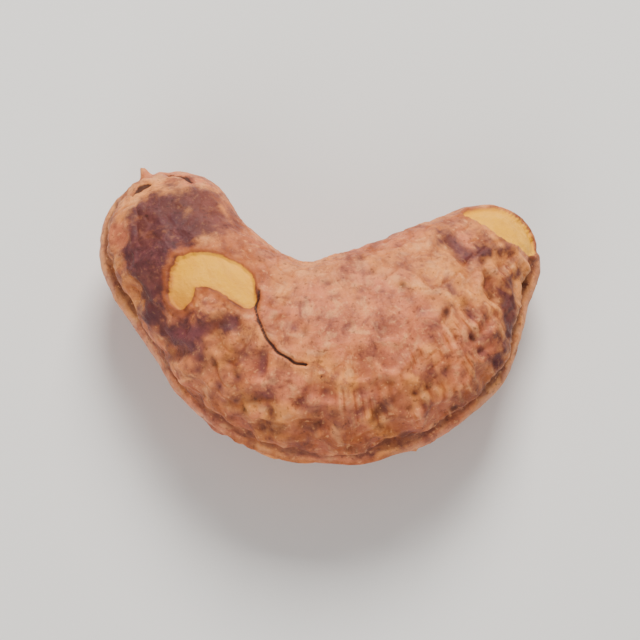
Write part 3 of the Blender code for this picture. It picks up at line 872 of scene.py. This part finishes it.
def purple_stain(g, noises):
    """How purple the skin is, about 0 to 1, and the purple's own mottled colour."""
    stained = g.field("purple")
    for name in ("mottle", "streaks"):
        about_zero = g.math("SUBTRACT", noises[name], 0.5)
        stained = g.math("MULTIPLY_ADD", about_zero, STAIN_BROKEN, stained)
    mauve = g.mix(g.ramp(noises["blotch"], *MAUVE_IN_BLOTCH), PURPLE, MAUVE)
    return stained, g.mix(g.ramp(noises["clouds"], *MAROON_IN_CLOUDS), mauve, MAROON)


def rim_colours(g, noises, colour):
    """The rim: pink on the flanks of the bend, rusty round its middle, and dark in its grooves and the
    hollow's seam, partly its own dark and partly painted shade.
    """
    rim = g.ramp(g.field("rim"), *RIM_IN)
    flank = g.field("flank")
    pink = g.times(g.ramp(noises["blotch"], *RIM_BY_BLOTCH), g.ramp(flank, *RIM_BY_FLANK))
    colour = g.mix(g.times(rim, pink), colour, RIM_PINK)
    rust = g.times(g.ramp(noises["mottle"], *RUST_BY_MOTTLE), g.ramp(flank, *RUST_BY_FLANK))
    colour = g.mix(g.times(rim, rust), colour, ORANGE)
    # maroon in the grooves and the seam: partly the skin's own dark, partly painted shade
    groove = g.times(g.ramp(g.field("groove"), *GROOVE_IN), g.ramp(noises["blotch"], *GROOVE_BY_BLOTCH))
    return g.mix(groove, colour, MAROON)


def skin_colour(g, mm):
    """The roasted skin's colour, from its relief, its stained zones and fine mottling, with painted
    shade on the lower part and the hollow side of the bend, and partly in the net's hollows and grooves.
    """
    noises = skin_noises(g, mm)
    clouds = noises["clouds"]
    grit = noises["grit"]
    colour = mottled_skin(g, noises)
    stained, mauve = purple_stain(g, noises)
    unstained = g.ramp(stained, *UNSTAINED)
    colour = g.mix(g.ramp(stained, *STAIN_IN), colour, mauve)
    # painted shade: rose darkening the lower part of the nut
    colour = g.mix(g.times(g.field("low"), g.ramp(clouds, *LOW_SHADE_BY_CLOUDS)), colour, ROSE)

    # rose in the net's hollows: partly the skin's own pattern, partly painted shade
    hollow = g.times(g.ramp(g.field("net"), *NET_HOLLOW_TONE_AND_SHADE), g.ramp(clouds, *NET_BY_CLOUDS))
    colour = g.mix(g.times(hollow, unstained), colour, ROSE)
    dark = g.mix(g.ramp(clouds, *DENT_BY_CLOUDS), MAROON, MAUVE)
    dented = g.times(g.ramp(g.field("dent"), *DENT_IN), g.ramp(noises["mottle"], *DENT_BY_MOTTLE))
    colour = g.mix(dented, colour, dark)
    # painted shade: rose darkening the inner, hollow side of the bend
    colour = g.mix(g.ramp(g.field("inner"), *HOLLOW_SIDE_SHADE), colour, ROSE)
    colour = rim_colours(g, noises, colour)
    colour = g.mix(g.times(g.field("pit"), PIT_DARKNESS), colour, UMBER)
    colour = g.mix(g.times(g.field("crease"), g.times(unstained, CREASE_TINT)), colour, ORANGE)
    colour = g.mix(g.ramp(grit, *DARK_GRIT), colour, UMBER)
    pale_grit = g.times(g.ramp(grit, *PALE_GRIT), g.ramp(stained, *PALE_GRIT_BY_STAIN))
    return g.mix(pale_grit, colour, PALE)


def kernel_colour(g, mm, edge, edge_shadow):
    """The bare kernel: yellow, creamier in clouds, with a painted brown shadow where the skin's edge
    shades it.
    """
    clouds = g.noise(mm, 1.6, 2.0, 0.5)
    streaks = g.noise(g.stretched(g.vector("grain"), (2.2, 0.4, 0.4)), 1.0, 3.0, 0.6, 0.3)
    colour = g.mix(g.ramp(clouds, *CREAM_IN_CLOUDS), KERNEL, KERNEL_CREAM)
    colour = g.mix(g.ramp(streaks, *DEEP_IN_STREAKS), colour, KERNEL_DEEP)
    colour = g.mix(g.times(g.field("leg"), LEG_TINT), colour, KERNEL_TAN_AND_SHADOW)
    # painted shadow on the kernel along the skin's edge
    return g.mix(g.times(g.ramp(edge, *KERNEL_SHADOW_TO), edge_shadow), colour, KERNEL_TAN_AND_SHADOW)


def torn_edge_painted_shadow(g, mm):
    """How dark the painted shadow at the torn edge is: uneven, and darkest below and left of the large
    bare place.
    """
    shadow_noise_place = g.stretched(mm, (1.0, 1.0, 1.0), (5.0, 9.0, 2.0))
    edge_shadow = g.ramp(g.noise(shadow_noise_place, 1.5, 2.0), *EDGE_SHADOW_BY_NOISE)
    return g.times(edge_shadow, g.ramp(g.field("shadowed_edge"), *EDGE_SHADOW_BY_PLACE))


def nut_material():
    """Roasted skin over pale kernel, mixed by the fields that the mesh carries."""
    g = Graph("roasted_skin")
    mm = g.in_mm()
    edge = g.field("bare_edge")
    edge_shadow = torn_edge_painted_shadow(g, mm)
    border = g.times(g.ramp(edge, *BORDER_TO), g.ramp(g.field("narrow_tip"), *BORDER_BY_TIP))
    skin = g.mix(border, skin_colour(g, mm), ORANGE)
    # painted shadow: a maroon line on the skin along the torn edge, darkest below and left of the large
    # bare place
    skin = g.mix(g.times(g.ramp(edge, *TORN_EDGE_SHADOW_TO), edge_shadow), skin, MAROON)
    colour = g.mix(g.ramp(edge, *KERNEL_FROM), skin, kernel_colour(g, mm, edge, edge_shadow))
    # painted shade: near-black inside the crack and the slits
    colour = g.mix(g.ramp(g.field("crack_gap"), *CRACK_SHADE_TO), colour, UMBER)
    g.put(g.shader.inputs["Base Color"], colour)

    grit = g.noise(mm, 0.22, 4.0, 0.65)
    g.put(g.shader.inputs["Roughness"], g.ramp(grit, *ROUGHNESS_IN_GRIT))
    g.put(g.shader.inputs["Specular IOR Level"], SPECULAR)
    bump_node = g.node("ShaderNodeBump")
    g.put(bump_node.inputs["Height"], grit)
    g.put(bump_node.inputs["Distance"], GRIT_BUMP * MM)
    g.put(bump_node.inputs["Strength"], GRIT_BUMP_STRENGTH)
    g.put(g.shader.inputs["Normal"], bump_node.outputs["Normal"])
    return g.material


# The studio
FLOOR_HALF_M = 0.6
FLOOR_COLOUR = (0.82, 0.81, 0.79, 1.0)
FLOOR_ROUGHNESS = 0.7
CAMERA_ELEVATION = 76.0
CAMERA_DISTANCE_M = 0.3
CAMERA_LENS = 288.0
CAMERA_CLIP_M = 0.002
AIM_M = (0.0, -0.0002, 0.005)
LAMPS = (
    # name, place, side of the square, watts, colour
    ("key", (0.03, 0.23, 0.24), 0.14, 1.72, (1.0, 0.97, 0.92)),
    ("fill", (-0.12, -0.28, 0.20), 0.30, 0.87, (1.0, 0.98, 0.96)),
)
SKY_COLOUR = (0.98, 0.97, 0.97, 1.0)
SKY_STRENGTH = 0.36


def make_floor():
    mesh = bpy.data.meshes.new("floor")
    shape = bmesh.new()
    bmesh.ops.create_grid(shape, x_segments=1, y_segments=1, size=FLOOR_HALF_M)
    shape.to_mesh(mesh)
    shape.free()
    floor = bpy.data.objects.new("floor", mesh)
    g = Graph("pale_floor")
    g.put(g.shader.inputs["Base Color"], FLOOR_COLOUR)
    g.put(g.shader.inputs["Roughness"], FLOOR_ROUGHNESS)
    mesh.materials.append(g.material)
    bpy.context.scene.collection.objects.link(floor)


def make_camera():
    """Looks down on the nut's broad side from its back."""
    camera = bpy.data.objects.new("camera", bpy.data.cameras.new("camera"))
    camera.data.lens = CAMERA_LENS
    camera.data.clip_start = CAMERA_CLIP_M
    high = math.radians(CAMERA_ELEVATION)
    away = Vector((0.0, -math.cos(high), math.sin(high)))
    camera.location = Vector(AIM_M) + CAMERA_DISTANCE_M * away
    camera.rotation_euler = away.to_track_quat("Z", "Y").to_euler()
    bpy.context.scene.collection.objects.link(camera)
    bpy.context.scene.camera = camera


def soft_light(name, place_m, size_m, watts, colour):
    """A square lamp that faces the nut."""
    lamp = bpy.data.lights.new(name, "AREA")
    lamp.size = size_m
    lamp.energy = watts
    lamp.color = colour
    holder = bpy.data.objects.new(name, lamp)
    holder.location = place_m
    holder.rotation_euler = Vector(place_m).to_track_quat("Z", "Y").to_euler()
    bpy.context.scene.collection.objects.link(holder)


def make_lights():
    for lamp in LAMPS:
        soft_light(*lamp)
    world = bpy.data.worlds.new("studio")
    world.use_nodes = True
    background = world.node_tree.nodes["Background"]
    background.inputs["Color"].default_value = SKY_COLOUR
    background.inputs["Strength"].default_value = SKY_STRENGTH
    bpy.context.scene.world = world


def main():
    nut = make_nut()
    nut.data.materials.append(nut_material())
    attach(nut, "root")
    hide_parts("cashew_nut")
    make_floor()
    make_camera()
    make_lights()


main()
